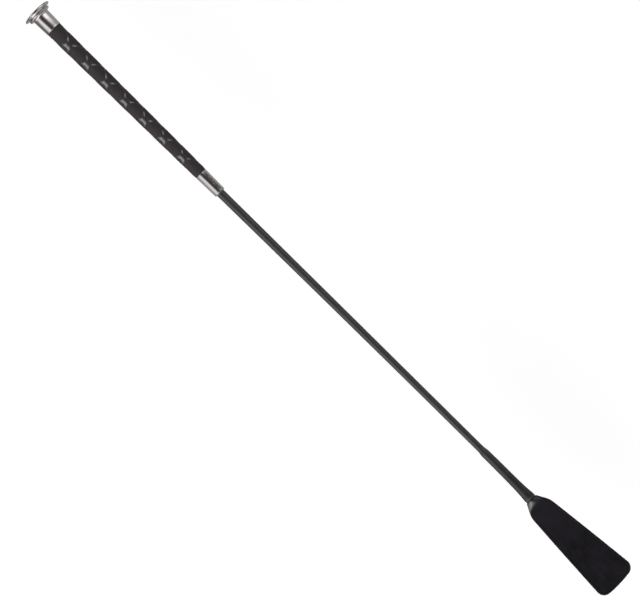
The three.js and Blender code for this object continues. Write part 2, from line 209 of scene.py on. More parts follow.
def numbered(rows, columns, first=0):
    """A table of vertex numbers, row by row."""
    return first + np.arange(rows * columns).reshape(rows, columns)


def outward(points, faces):
    """The quads of a closed surface, all turned over if they face inward."""
    a, b, c, d = (points[faces[:, k]] for k in range(4))
    volume = np.einsum("ij,ij->", a, np.cross(b, c)) + np.einsum("ij,ij->", a, np.cross(c, d))
    return faces[:, ::-1] if volume < 0 else faces


def make_piece(name, points, faces, material, sharp_angle=50):
    """A smooth-shaded mesh object from points in millimetres and the quads of a closed surface."""
    mesh = bpy.data.meshes.new(name)
    quads = [tuple(dict.fromkeys(face)) for face in outward(points, faces).tolist()]
    mesh.from_pydata((points * MM).tolist(), [], quads)
    mesh.polygons.foreach_set("use_smooth", [True] * len(mesh.polygons))
    mesh.set_sharp_from_angle(angle=math.radians(sharp_angle))
    mesh.materials.append(material)
    piece = bpy.data.objects.new(name, mesh)
    bpy.context.scene.collection.objects.link(piece)
    add_attribute(piece, "rest_place", points * MM)
    return piece


def add_attribute(piece, name, values, domain="POINT"):
    """Stores a number for each point, face or face corner, or a vector if the values have more axes."""
    kind, field = ("FLOAT_VECTOR", "vector") if values.ndim > 1 else ("FLOAT", "value")
    stored = piece.data.attributes.new(name, kind, domain)
    stored.data.foreach_set(field, values.astype(np.float32).ravel())


def curve(start, bend, end, t):
    """A curve that leaves its start towards the bend and comes to its end from there."""
    return (1 - t) ** 2 * start + 2 * t * (1 - t) * bend + t**2 * end


def rounded(corners, steps=7):
    """A profile through [x, radius, cut] corners, each rounded from cut before it to cut after it."""
    corners = np.array(corners, float)
    profile = []
    for i, (x, radius, cut) in enumerate(corners):
        corner = np.array([x, radius])
        if cut == 0:
            profile.append(corner)
            continue
        ends = []
        for other in (corners[i - 1, :2], corners[i + 1, :2]):
            side = other - corner
            ends.append(corner + side * min(cut / np.linalg.norm(side), 0.5))
        profile += [curve(ends[0], corner, ends[1], t) for t in np.linspace(0, 1, steps)]
    return np.array(profile)


def crevice_depth(profile, reach=0.9):
    """How near each profile point lies to a hollow corner, from 0 to 1, fading over a reach."""
    before = profile - np.roll(profile, 1, axis=0)
    after = np.roll(profile, -1, axis=0) - profile
    turn = before[:, 0] * after[:, 1] - before[:, 1] * after[:, 0]
    length = np.linalg.norm(before, axis=1) * np.linalg.norm(after, axis=1)
    hollow = np.clip(turn / np.maximum(length, 1e-9), 0, 1)
    distance = np.linalg.norm(profile[:, None] - profile[None], axis=2)
    return np.clip((hollow * np.exp(-((distance / reach) ** 2))).max(axis=1), 0, 1)


def rings(profile, facets):
    """Rings of points about the X axis, one for each [x, radius] point of a profile."""
    x = np.repeat(profile[:, :1], facets, axis=1)
    y = profile[:, 1:] * np.cos(full_turn(facets))
    z = profile[:, 1:] * np.sin(full_turn(facets))
    return np.stack([x, y, z], axis=-1)


def turned(name, profile, facets, material):
    """A profile of [x, radius] points turned about the X axis; it closes on itself or ends on the axis."""
    points = rings(profile, facets).reshape(-1, 3)
    on_axis = profile[:, 1] < 1e-9
    faces = tube(numbered(len(profile), facets), closed=not on_axis.any())
    for row in np.flatnonzero(on_axis):  # every point of an axis row becomes its first point
        members = np.arange(row * facets, (row + 1) * facets)
        faces = np.where(np.isin(faces, members), row * facets, faces)
    used, faces = np.unique(faces, return_inverse=True)
    piece = make_piece(name, points[used], faces.reshape(-1, 4), material)
    crevice = np.repeat(crevice_depth(profile), facets)
    add_attribute(piece, "crevice", crevice[used])
    return piece


# ---- material helpers
def new_tree(name):
    """A new material with its node tree, holding only the shader and the output."""
    material = bpy.data.materials.new(name)
    material.use_nodes = True
    return material, material.node_tree


def set_inputs(tree, node, inputs):
    """Gives a shader node's inputs their values: numbers, colours or other nodes' outputs."""
    for key, value in inputs.items():
        if isinstance(value, bpy.types.NodeSocket):
            tree.links.new(value, node.inputs[key])
        else:
            node.inputs[key].default_value = value


def add(tree, kind, inputs=None, **settings):
    """Adds a shader node with its settings and inputs, and returns its outputs."""
    node = tree.nodes.new("ShaderNode" + kind)
    for key, value in settings.items():
        setattr(node, key, value)
    set_inputs(tree, node, inputs or {})
    return node.outputs


def shade(tree, inputs):
    """Gives values to the material's own Principled shader."""
    set_inputs(tree, tree.nodes["Principled BSDF"], inputs)


def place(tree, scale=(1, 1, 1)):
    """The point's place at rest, in metres, stretched by a scale."""
    rest = attribute(tree, "rest_place", "Vector")
    return add(tree, "Mapping", {"Vector": rest, "Scale": scale})["Vector"]


def rest_axes(tree):
    """The X, Y and Z of the point's place at rest, in metres."""
    return add(tree, "SeparateXYZ", {"Vector": place(tree)})


def noise(tree, vector, scale, detail=3, roughness=0.55):
    inputs = {"Vector": vector, "Scale": scale, "Detail": detail, "Roughness": roughness}
    return add(tree, "TexNoise", inputs)["Fac"]


def remap(tree, value, low, high, new_low, new_high, **settings):
    inputs = {"Value": value, "From Min": low, "From Max": high, "To Min": new_low, "To Max": new_high}
    return add(tree, "MapRange", inputs, **settings)["Result"]


def fade(tree, length, stretch, first, last, origin=0.0):
    """Goes from first to last as a length in metres crosses a stretch in millimetres from an origin."""
    start, end = stretch
    return remap(tree, length, (origin + start) * MM, (origin + end) * MM, first, last)


def maths(tree, operation, a, b):
    return add(tree, "Math", {0: a, 1: b}, operation=operation)[0]


def multiply(tree, a, b):
    return maths(tree, "MULTIPLY", a, b)


def mix_colour(tree, factor, first, second):
    return add(tree, "Mix", {0: factor, 6: first, 7: second}, data_type="RGBA")[2]


def mix_value(tree, factor, first, second):
    return add(tree, "Mix", {0: factor, 2: first, 3: second}, data_type="FLOAT")[0]


def bump(tree, height, depth_mm, strength=1.0, normal=None):
    """A bump whose height of 0 to 1 stands for a real depth in millimetres."""
    inputs = {"Height": height, "Distance": depth_mm * MM, "Strength": strength}
    if normal is not None:
        inputs["Normal"] = normal
    return add(tree, "Bump", inputs)["Normal"]


def attribute(tree, name, output="Fac"):
    return add(tree, "Attribute", attribute_name=name)[output]


def turned_away(tree):
    """0 where the surface faces the viewer, 1 where it is seen edge-on."""
    return add(tree, "LayerWeight", {"Blend": 0.5})["Facing"]


def matt_edges(tree, level):
    """A specular level that fades where the surface turns away, as it does on fibres and grain."""
    return remap(tree, turned_away(tree), 0.35, 0.85, level, 0.04)


def grey(value, tint=(1, 1, 1)):
    return (*(value * share for share in tint), 1)


# ---- materials
def nickel_material():
    """Polished nickel plate: faint turning lines, smudges, and tarnish in the hollows."""
    material, tree = new_tree("nickel_plate")
    smudges = noise(tree, place(tree), 260, detail=5)
    lines = noise(tree, place(tree, (7000, 60, 60)), 1, detail=2)
    scratches = noise(tree, place(tree, (500, 6000, 900)), 1, detail=1)
    crevice = attribute(tree, "crevice")
    plate = mix_colour(tree, smudges, grey(0.52, (1, 0.95, 0.94)), grey(0.44, (1, 0.94, 0.93)))
    colour = mix_colour(tree, remap(tree, crevice, 0.1, 1, 0, 0.3), plate, grey(0.16, (1, 0.93, 0.86)))
    rough = remap(tree, smudges, 0.3, 0.7, 0.08, 0.15)
    rough = maths(tree, "ADD", rough, remap(tree, crevice, 0, 1, 0, 0.25))
    rough = maths(tree, "ADD", rough, remap(tree, scratches, 0.66, 0.72, 0, 0.10))
    normal = bump(tree, lines, 0.004, 0.35)
    shade(tree, {"Base Color": colour, "Metallic": 1.0, "Roughness": rough, "Normal": normal})
    return material


def rubber_material():
    """Moulded rubber: matt stippled pads, and smooth darker channels that shine if seen squarely."""
    material, tree = new_tree("grip_rubber")
    channel = attribute(tree, "channel")
    stipple = add(tree, "TexVoronoi", {"Vector": place(tree), "Scale": 2600})["Distance"]
    fine = noise(tree, place(tree), 5200, detail=2)
    patches = noise(tree, place(tree), 90, detail=4)
    pad = mix_colour(tree, patches, grey(0.032, (1.14, 0.92, 1.02)), grey(0.044, (1.12, 0.93, 1.02)))
    colour = mix_colour(tree, channel, pad, grey(0.024, (1.1, 0.94, 1.02)))
    rough = mix_value(tree, channel, remap(tree, fine, 0.3, 0.7, 0.62, 0.80), 0.3)
    height = maths(tree, "ADD", multiply(tree, stipple, 0.8), multiply(tree, fine, 0.4))
    normal = bump(tree, height, 0.09, remap(tree, channel, 0, 1, 1.0, 0.08))
    upper_side = fade(tree, rest_axes(tree)["Y"], (-1, 2), 0, 0.16)
    away = maths(tree, "ADD", turned_away(tree), upper_side)
    gloss = multiply(tree, channel, remap(tree, away, 0.16, 0.34, 1.0, 0.05))
    shade(tree, {"Base Color": colour, "Roughness": rough, "Normal": normal})
    shade(tree, {"Specular IOR Level": matt_edges(tree, 0.3)})
    shade(tree, {"Coat Weight": gloss, "Coat Roughness": 0.2, "Coat IOR": 2.25})
    return material


BRAID_DULLING = (SHOULDER_START - 10, SHOULDER_END + 30)  # along X, the braid loses some of its gloss


def braid_material():
    """Lacquered polyester braid: filaments along each yarn, small colour changes from yarn to yarn."""
    material, tree = new_tree("cover_braid")
    fibre = attribute(tree, "fibre", "Vector")
    stretched = add(tree, "Mapping", {"Vector": fibre, "Scale": (9, 0.9, 1)})["Vector"]
    filaments = noise(tree, stretched, 1.0, detail=3, roughness=0.6)
    dust = noise(tree, place(tree), 140, detail=4)
    yarn_tone = attribute(tree, "yarn_tone")
    dark = mix_colour(tree, filaments, grey(0.006, (1.05, 0.96, 1.04)), grey(0.018, (1.05, 0.96, 1.04)))
    toned = mix_colour(tree, remap(tree, yarn_tone, 0, 1, 0, 0.45), dark, grey(0.022, (1.04, 0.97, 1.03)))
    colour = mix_colour(tree, remap(tree, dust, 0.55, 0.8, 0, 0.25), toned, grey(0.045))
    rough = remap(tree, filaments, 0.25, 0.75, 0.42, 0.28)
    normal = bump(tree, filaments, 0.03, 0.7)
    gloss = multiply(tree, matt_edges(tree, 0.95), fade(tree, rest_axes(tree)["X"], BRAID_DULLING, 1, 0.6))
    shade(tree, {"Base Color": colour, "Roughness": rough, "Normal": normal, "Specular IOR Level": gloss})
    return material


# stretches along X, in millimetres past the braid
# painted sheen: the leather's colour is lightened just past the braid and fades out over this stretch
PAINTED_SHEEN_FADE = (15, 50)
NECK_SHINE_START = (0.4, 1.7)
NECK_SHINE_END = (2.6, 5.2)
NECK_SHINE_SIDE = (-1.8, 0.2)  # the stretch of Y over which the shine fades towards +Y


def leather_colour(tree, edge, creases, mottling):
    """Black leather, paler where it is creased and in scuffs on its edge, with a painted sheen that lightens
    it just past the braid.
    """
    base = mix_colour(tree, mottling, grey(0.0068, (1.0, 0.88, 1.18)), grey(0.0150, (1.0, 0.86, 1.16)))
    creased = remap(tree, creases, 0.52, 0.74, 0, 0.7)
    # painted sheen: paler leather just past the braid, where light catches the flap's neck and shoulder
    painted_sheen = fade(tree, rest_axes(tree)["X"], PAINTED_SHEEN_FADE, 0.55, 0, origin=COVER_HIGH[0])
    scuffs = remap(tree, noise(tree, place(tree), 380, detail=4), 0.5, 0.72, 0, 0.6)
    colour = mix_colour(tree, creased, base, grey(0.020, (1.0, 0.90, 1.12)))
    colour = mix_colour(tree, painted_sheen, colour, grey(0.022, (1.0, 0.88, 1.14)))
    return mix_colour(tree, multiply(tree, edge, scuffs), colour, grey(0.05))


def leather_grain(tree, edge, creases):
    """The normal of pebbled, pored leather with broad creases, smoother on the painted edge."""
    cells = add(tree, "TexVoronoi", {"Vector": place(tree), "Scale": 1500}, feature="DISTANCE_TO_EDGE")
    pebbles = remap(tree, cells["Distance"], 0, 0.22, 0, 1)
    pores = noise(tree, place(tree), 4200, detail=2)
    height = maths(tree, "ADD", multiply(tree, pebbles, 0.6), multiply(tree, pores, 0.35))
    grain = bump(tree, height, 0.07, remap(tree, edge, 0, 1, 0.7, 0.15))
    return bump(tree, creases, 0.35, 0.25, grain)


def neck_shine(tree):
    """How polished the leather is: on the neck just past the braid, mostly on the -Y side."""
    axes = rest_axes(tree)
    spread = multiply(tree, maths(tree, "ABSOLUTE", axes["Y"], 0.0), 0.35)
    bowed_x = maths(tree, "SUBTRACT", axes["X"], spread)
    start = fade(tree, axes["X"], NECK_SHINE_START, 0, 1, origin=COVER_HIGH[0])
    end = fade(tree, bowed_x, NECK_SHINE_END, 1, 0, origin=COVER_HIGH[0])
    return multiply(tree, multiply(tree, end, start), fade(tree, axes["Y"], NECK_SHINE_SIDE, 1, 0.17))


def leather_material():
    """Black leather with pebbled grain, broad creases, and a smooth painted edge with light scuffs."""
    material, tree = new_tree("flap_leather")
    creases = noise(tree, place(tree, (60, 160, 60)), 1, detail=5, roughness=0.6)
    cloud = noise(tree, place(tree), 55, detail=6, roughness=0.68)
    edge = attribute(tree, "edge")
    colour = leather_colour(tree, edge, creases, remap(tree, cloud, 0.38, 0.62, 0, 1))
    rough = mix_value(tree, edge, remap(tree, cloud, 0.35, 0.65, 0.62, 0.50), 0.36)
    shade(tree, {"Base Color": colour, "Roughness": rough, "Normal": leather_grain(tree, edge, creases)})
    shade(tree, {"Specular IOR Level": matt_edges(tree, 0.10)})
    shade(tree, {"Coat Weight": neck_shine(tree), "Coat Roughness": 0.28, "Coat IOR": 2.5})
    return material


def thread_material():
    """Waxed thread with the slanting lines of its twist."""
    material, tree = new_tree("seam_thread")
    inputs = {"Vector": attribute(tree, "fibre", "Vector"), "Scale": 1.0, "Distortion": 0.4}
    twist = add(tree, "TexWave", inputs, bands_direction="DIAGONAL")["Fac"]
    fuzz = noise(tree, place(tree), 3500, detail=3)
    colour = mix_colour(tree, twist, grey(0.004), grey(0.008))
    rough = remap(tree, fuzz, 0.3, 0.7, 0.55, 0.75)
    height = maths(tree, "ADD", twist, multiply(tree, fuzz, 0.3))
    shade(tree, {"Base Color": colour, "Roughness": rough, "Normal": bump(tree, height, 0.06, 0.8)})
    shade(tree, {"Specular IOR Level": 0.2})
    return material


def streaked_material(name, first, second, scale, roughness, metallic=0.0):
    """A plain inner material with streaks, such as wood, drawn steel or glass fibre."""
    material, tree = new_tree(name)
    mapped = add(tree, "Mapping", {"Vector": add(tree, "TexCoord")["Object"], "Scale": scale})["Vector"]
    streaks = noise(tree, mapped, 1.0, detail=4)
    rough = remap(tree, streaks, 0.3, 0.7, roughness - 0.06, roughness + 0.06)
    normal = bump(tree, streaks, 0.05, 0.4)
    colour = mix_colour(tree, streaks, first, second)
    shade(tree, {"Base Color": colour, "Roughness": rough, "Metallic": metallic, "Normal": normal})
    return material


# ---- cap
def dome_drop(radius, dome_radius):
    """How far the dome's surface lies below its flat top, at a radius."""
    def sagitta(r):
        return dome_radius - np.sqrt(dome_radius**2 - r**2)

    return np.maximum(sagitta(radius) - sagitta(CROWN_FLAT_RADIUS), 0)


def build_crown(material):
    """The domed crown: an outer dome, a plain rim, a flat lip beneath and the inside of the shell."""
    depth, rim_start = CROWN_HIGH[0], np.array([CROWN_RIM_START, CROWN_RADIUS])
    lip_radius, inner_radius = COLLAR_HIGH[1] + 0.05, CROWN_RADIUS - CROWN_WALL
    outer_radii = np.linspace(0, CROWN_SHOULDER_RADIUS, 24)
    outer = np.stack([dome_drop(outer_radii, CROWN_DOME_RADIUS), outer_radii], axis=1)
    inner_radii = np.linspace(inner_radius, 0, 16)
    inner_drop = CROWN_SHEET + dome_drop(inner_radii, CROWN_DOME_RADIUS - CROWN_SHEET)
    inner = np.stack([inner_drop, inner_radii], axis=1)
    bend = outer[-1] + [0.4, CROWN_RADIUS - CROWN_SHOULDER_RADIUS]
    shoulder = curve(outer[-1], bend, rim_start, np.linspace(0, 1, 20)[1:, None])
    rim = rounded([
        [*rim_start, 0],
        [depth, CROWN_RADIUS, 0.18],
        [depth, lip_radius, 0.1],
        [depth - CROWN_LIP, lip_radius, 0.1],
        [depth - CROWN_LIP, inner_radius + 0.05, 0],
    ])
    return turned("cap_crown_shell", np.vstack([outer, shoulder, rim[1:], inner]), 144, material)


def build_collar(material):
    """The collar: a beaded flange, a flare down to the neck, and a slightly tapered tube."""
    start, end, flange_radius = COLLAR_LOW[0], COLLAR_HIGH[0], COLLAR_HIGH[1]
    bore = COLLAR_TOP_RADIUS - COLLAR_SHEET
    groove = CROWN_HIGH[0]
    flare_turn = np.linspace(math.pi, 1.5 * math.pi, 18)
    flare_x = COLLAR_NECK + (COLLAR_NECK - FLANGE_END) * np.cos(flare_turn)
    flare_start = flange_radius - FLARE_INSET
    flare_r = flare_start + (flare_start - COLLAR_TOP_RADIUS) * np.sin(flare_turn)
    flange = rounded([
        [start, bore, 0],
        [start, flange_radius, 0.2],
        [groove - 0.1, flange_radius, 0.05],
        [groove - 0.05, FLANGE_GROOVE_RADIUS + FLANGE_GROOVE_RISE, 0.05],
        [groove + FLANGE_GROOVE_WIDTH - 0.15, FLANGE_GROOVE_RADIUS, 0.12],
        [groove + FLANGE_GROOVE_WIDTH, flange_radius - 0.35, 0.4],
        [FLANGE_END - 0.5, flange_radius, 0.5],
        [FLANGE_END, flange_radius - 0.25, 0.3],
        [flare_x[0], flare_r[0], 0],
    ])
    along = np.linspace(0, 1, 12)[1:]
    drop = (COLLAR_TOP_RADIUS - COLLAR_END_RADIUS) * (0.6 * along + 0.4 * along**2)
    barrel = np.stack([lerp(COLLAR_NECK, end - 0.4, along), COLLAR_TOP_RADIUS - drop], axis=1)
    mouth = rounded([
        [*barrel[-1], 0],
        [end, COLLAR_END_RADIUS, 0.3],
        [end, COLLAR_END_RADIUS - COLLAR_SHEET, 0.05],
        [COLLAR_NECK, bore, 0],
    ])
    flare = np.stack([flare_x, flare_r], axis=1)
    return turned("cap_collar_tube", np.vstack([flange[:-1], flare, barrel, mouth[1:]]), 128, material)


# ---- grip
GRIP_PITCH = 21.15  # from one crossing of the channels to the next
GRIP_FIRST_CROSSING = 38.6
GRIP_CROSSING_TURN = math.radians(103)  # where the crossings lie round the grip; 90 faces +Z
CHANNEL_HALF_WIDTH = 0.55
CHANNEL_DEPTH = 0.12
PAD_RISE = 0.12  # of the pads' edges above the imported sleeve
PAD_CROWN = 0.05
PAD_CROWN_REACH = 2.4  # how far from a channel most of the crown is reached
PAD_EDGE = 0.5
PAD_CORNER = 1.15  # rounds the pads' corners, where two channels meet
PLAIN_TOP = (3.5, 5)  # the pattern starts over this stretch below the grip's upper end
PLAIN_END = (7, 5.5)  # and stops over this stretch above its lower end
GRIP_TOP_ROUND = 0.5
GRIP_END_ROUND = 2.2
GRIP_EDGE_DROP = 0.45  # how far the edges at both ends are rounded in
GRIP_BORE_RING = 80.0  # from the upper end, where the long faces of the bore are divided
GRIP_FACETS = 132
GRIP_RINGS = 548


def channel_distance(x, angle):
    """Distance to the nearest channel's centre line; two helices run each way round the grip."""
    turn = (angle - GRIP_CROSSING_TURN) / math.pi
    along = (x - GRIP_FIRST_CROSSING) / GRIP_PITCH
    radius = (GRIP_TOP_RADIUS + GRIP_END_RADIUS) / 2
    per_mm = math.hypot(1 / GRIP_PITCH, 1 / (math.pi * radius))
    right, left = (np.abs(t - np.round(t)) / per_mm for t in (along + turn, along - turn))
    return -PAD_CORNER * np.log(np.exp(-right / PAD_CORNER) + np.exp(-left / PAD_CORNER))


def build_grip(material):
    """The moulded sleeve: pillowed lozenge pads between smooth channels, plain bands at the ends."""
    start, end = GRIP_LOW[0], GRIP_HIGH[0]
    body_x = np.linspace(start + GRIP_TOP_ROUND, end - GRIP_END_ROUND, GRIP_RINGS)
    x, turn = np.meshgrid(body_x, full_turn(GRIP_FACETS), indexing="ij")
    away = channel_distance(x, turn)
    starting = ramp(x, start + PLAIN_TOP[0], start + PLAIN_TOP[1])
    patterned = starting * (1 - ramp(x, end - PLAIN_END[0], end - PLAIN_END[1]))
    floor = (1 - ramp(away, CHANNEL_HALF_WIDTH, CHANNEL_HALF_WIDTH + PAD_EDGE)) * patterned
    inland = np.maximum(away - CHANNEL_HALF_WIDTH, 0) / PAD_CROWN_REACH
    pillow = PAD_CROWN * (1 - np.exp(-inland)) * patterned
    radius = lerp(GRIP_TOP_RADIUS, GRIP_END_RADIUS, (x - start) / (end - start))
    radius = radius + PAD_RISE + pillow - CHANNEL_DEPTH * floor
    body = np.stack([x, radius * np.cos(turn), radius * np.sin(turn)], axis=-1)

    top = rounded([
        [start, GRIP_BORE_RADIUS, 0],
        [start, GRIP_TOP_RADIUS, GRIP_EDGE_DROP],
        [start + GRIP_TOP_ROUND, GRIP_TOP_RADIUS, 0],
    ])[:-1]
    round_turn = np.linspace(0, math.pi / 2, 9)[1:]
    last_radius = lerp(GRIP_TOP_RADIUS, GRIP_END_RADIUS, 1 - GRIP_END_ROUND / (end - start))
    bottom_x = end - GRIP_END_ROUND * (1 - np.sin(round_turn))
    bottom = np.stack([bottom_x, last_radius - GRIP_EDGE_DROP * (1 - np.cos(round_turn))], axis=1)
    bore = np.array([[end, GRIP_BORE_RADIUS], [start + GRIP_BORE_RING, GRIP_BORE_RADIUS]])

    points = np.concatenate([rings(top, GRIP_FACETS), body, rings(np.vstack([bottom, bore]), GRIP_FACETS)])
    channel = np.zeros(points.shape[:2])
    channel[len(top) : len(top) + GRIP_RINGS] = floor
    faces = tube(numbered(*channel.shape), closed=True)
    grip = make_piece("rubber_grip", points.reshape(-1, 3), faces, material)
    add_attribute(grip, "channel", channel.ravel())
    return grip


# ---- ferrule
FERRULE_RINGS = np.linspace(0.04, 0.94, 16)  # shares of its length, close enough to shade the taper evenly
FERRULE_LINE = 1.0  # a turned line, this far above the lower edge
FERRULE_LINE_HALF_WIDTH = 0.15
FERRULE_LIP = 0.45


def build_ferrule(material):
    """The ferrule: a tapered tube on a spigot, with its lower edge turned in round the shaft."""
    start, end = FERRULE_LOW[0], FERRULE_HIGH[0]
    shoulder = GRIP_HIGH[0] + 0.03
    line = end - FERRULE_LINE
    lip = SHAFT_BUTT_RADIUS + 0.12
    taper = [[lerp(shoulder, end, t), lerp(FERRULE_HIGH[2], FERRULE_END_RADIUS, t), 0] for t in FERRULE_RINGS]
    profile = rounded([
        [start, FERRULE_BORE_RADIUS, 0],
        [start, FERRULE_SPIGOT_RADIUS, 0.1],
        [shoulder, FERRULE_SPIGOT_RADIUS, 0],
        [shoulder, FERRULE_HIGH[2], 0.25],
        *taper,
        [line - FERRULE_LINE_HALF_WIDTH, FERRULE_END_RADIUS + 0.02, 0],
        [line, FERRULE_END_RADIUS - 0.05, 0.06],
        [line + FERRULE_LINE_HALF_WIDTH, FERRULE_END_RADIUS + 0.02, 0.06],
        [end, FERRULE_END_RADIUS, 0.4],
        [end, lip, 0.12],
        [end - FERRULE_LIP, lip, 0.08],
        [end - FERRULE_LIP, FERRULE_BORE_RADIUS, 0],
    ])
    return turned("lower_ferrule_tube", profile, 128, material)


# ---- braid
YARNS = 20  # in each direction
BRAID_PITCH = 34.0
BRAID_RELIEF = 0.13
BRAID_RISE = 0.12  # of the yarns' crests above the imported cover
BRAID_END_TUCK = 0.25  # how far the last yarns are drawn in over the leather
STEPS_PER_YARN = 3
BRAID_COLUMNS = YARNS * STEPS_PER_YARN
BORE_RINGS = 40


def yarn_height(u, v):
    """Height from 0 to 1 of a two-over, two-under braid. Both coordinates count its yarns."""
    cell_u, cell_v = np.floor(u), np.floor(v)
    order = np.mod(cell_u - cell_v, 4)
    over_u = order < 2
    across = np.where(over_u, u - cell_u, v - cell_v)
    step = np.where(over_u, v - cell_v, u - cell_u)
    second = np.where(over_u, order == 0, order == 3)
    along = (step + second) / 2
    roundness = (1 - np.abs(2 * across - 1) ** 2.4) ** 0.5
    dive = (1 - np.abs(2 * along - 1) ** 4) ** 0.5
    crown = 0.86 + 0.14 * np.sin(math.pi * along)
    return roundness * dive * crown


def cover_place(x, angle, depth):
    """A point below the cover's face by a depth, on its oval section."""
    y = (cover_half_width(x) - depth) * np.cos(angle) + sideways_bow(x)
    z = (cover_half_height(x) - depth) * np.sin(angle)
    return np.stack([x, y, z], axis=-1)


def lattice_quads(ids):
    """Diamond quads of a table of vertex numbers, in which every second row lies half a step aside."""
    quads = []
    for r in range(len(ids) - 2):
        left, right = (np.roll(ids[r + 1], step - r % 2) for step in (1, 0))
        quads.append(np.stack([ids[r], right, ids[r + 2], left], axis=1))
    return np.concatenate(quads)


def closing_quads(ids, ring_count):
    """Quads that close the sleeve: from the lattice's last row by way of rings of points to its first."""
    columns = 2 * BRAID_COLUMNS

    def zigzag(near, far):
        """The lattice's edge in order round the sleeve: a row of tips with the row behind them between."""
        edge = np.empty(columns, int)
        edge[near % 2 :: 2] = ids[near]
        edge[far % 2 :: 2] = ids[far]
        return edge

    last = len(ids) - 1
    return tube(np.vstack([zigzag(last, last - 1), numbered(ring_count, columns, ids.size), zigzag(0, 1)]))


def build_braid(material):
    """The braided cover, a closed sleeve. Its outer points form a diamond lattice along the yarns."""
    start, end = FERRULE_HIGH[0] - 5, COVER_HIGH[0]
    row_step = BRAID_PITCH / (2 * BRAID_COLUMNS)
    rows = int((end - 0.5 - start) / row_step)
    rows -= rows % 2
    row, column = np.meshgrid(np.arange(rows + 1), np.arange(BRAID_COLUMNS), indexing="ij")
    slot = 2 * column + row % 2
    u = (row + slot) / 2 / STEPS_PER_YARN
    v = (row - slot) / 2 / STEPS_PER_YARN
    x = start + row * row_step
    angle = slot * math.pi / BRAID_COLUMNS
    height = yarn_height(u, v) * ramp(x, end - 0.5, end - 1.6)
    wander = 0.035 * np.sin(x * 0.9 + 3 * angle) + 0.03 * np.sin(x * 0.37 - 5 * angle)
    tuck = BRAID_END_TUCK * ramp(x, end - 2.5, end - 0.5)
    outer = cover_place(x + wander, angle, BRAID_RELIEF * (1 - height) - BRAID_RISE + tuck)

    # the inner rings lead round the lower edge, up the bore and out to the upper edge
    bore_depth = np.full(BORE_RINGS, COVER_THICKNESS + 0.08)
    bore_depth[0] = 0.6
    inner_depth = np.concatenate([[0.4, 0.55], bore_depth, [BRAID_RELIEF]])
    inner_x = np.concatenate([[end - 0.15, end], np.linspace(end - 0.6, start, BORE_RINGS), [start]])
    ring_x, ring_turn = np.meshgrid(inner_x, full_turn(2 * BRAID_COLUMNS), indexing="ij")
    inner = cover_place(ring_x, ring_turn, inner_depth[:, None])

    ids = numbered(*outer.shape[:2])
    lattice = lattice_quads(ids)
    points = np.concatenate([outer.reshape(-1, 3), inner.reshape(-1, 3)])
    faces = outward(points, np.concatenate([lattice, closing_quads(ids, len(inner_x))]))
    braid = make_piece("braided_shaft_cover", points, faces, material, sharp_angle=180)
    add_fibres(braid, faces, u.ravel(), v.ravel(), len(lattice))
    return braid


def add_fibres(braid, faces, u, v, lattice_count):
    """Stores, at each face corner, how far it lies across and along the yarn that shows there."""
    inner = np.zeros(len(braid.data.vertices) - len(u))
    u, v = (np.concatenate([axis, inner])[faces] for axis in (u, v))
    cell_u, cell_v = np.floor(u.mean(axis=1)), np.floor(v.mean(axis=1))
    over_u = np.mod(cell_u - cell_v, 4) < 2
    across = np.where(over_u[:, None], u, v)
    along = np.where(over_u[:, None], v, u)
    strand = np.where(over_u, np.mod(cell_u, YARNS), YARNS + np.mod(cell_v, YARNS))
    fibre = np.stack([across, along, np.repeat(strand[:, None], 4, axis=1)], axis=-1)
    wraps = np.ptp(u, axis=1) > 2
    wraps[lattice_count:] = True
    fibre[wraps] = 0
    tone = np.mod(np.sin(strand * 12.9898) * 43758.5453, 1)  # scattered, but the same in every run
    add_attribute(braid, "fibre", fibre, "CORNER")
    add_attribute(braid, "yarn_tone", tone, "FACE")


# ---- leather flap
EDGE_OFFSETS = [0, 0.05, 0.14, 0.28, 0.45, 0.7, 1.1, 1.6, 2.0, 2.3, 2.6, 2.9, 3.2, 3.6, 4.2]
LEAF_EDGE_ROUND = 1.1  # how far in the face is rounded
WELL_INSIDE = 9.0  # the offset given to every point further in than those
WALL_SHARES = (0.22, 0.46)  # shares of the thickness at which the cut edge has its rows of points
LEAF_COLUMNS = 30
MIDDLE_SHARES = np.linspace(0, 1, LEAF_COLUMNS + 1)[1:-1]
CORNER_STEPS = 16
CORNER_X = BLADE_HIGH[0] - FLAP_CORNER_RADIUS
CORNER_Y = flap_half_width(CORNER_X) - FLAP_CORNER_RADIUS / math.cos(math.atan(FLAP_SIDE_SLOPE))


def leaf_half_width(x):
    """Half the leaf's flat width, from the tang to the corners of the flap."""
    return flap_half_width(np.maximum(x, FLAP_START))


def outline():
    """The flap's U-shaped outline, from the tang down the -Y side and back.

    Gives its points, the step inward from each for an offset of 1, and the count down one side.
    """
    slant = math.atan(FLAP_SIDE_SLOPE)
    neck_start, blade_start = COVER_HIGH[0] - 8, FLAP_SHOULDER_END + 2
    x = np.concatenate([
        np.linspace(TANG_LOW[0], neck_start, 15)[:-1],
        np.linspace(neck_start, blade_start, 44)[:-1],
        np.linspace(blade_start, CORNER_X - FLAP_CORNER_RADIUS * math.sin(slant), 112),
    ])
    narrow = np.minimum(1, 0.72 * leaf_half_width(x) / EDGE_OFFSETS[-1])
    turn = np.linspace(-slant, math.pi / 2, CORNER_STEPS + 1)[1:]
    spoke = np.stack([np.sin(turn), np.cos(turn)], axis=1)
    corner = [CORNER_X, CORNER_Y] + FLAP_CORNER_RADIUS * spoke
    down = np.vstack([np.stack([x, leaf_half_width(x)], axis=1), corner])
    down_step = np.vstack([np.stack([0 * x, -narrow], axis=1), -spoke])
    end_y = lerp(-CORNER_Y, CORNER_Y, MIDDLE_SHARES)
    end = np.stack([np.full(len(end_y), BLADE_HIGH[0]), end_y], axis=1)
    points = np.vstack([down * [1, -1], end, down[::-1]])
    steps = np.vstack([down_step * [1, -1], np.tile([-1, 0], (len(end), 1)), down_step[::-1]])
    return points, steps, len(down)


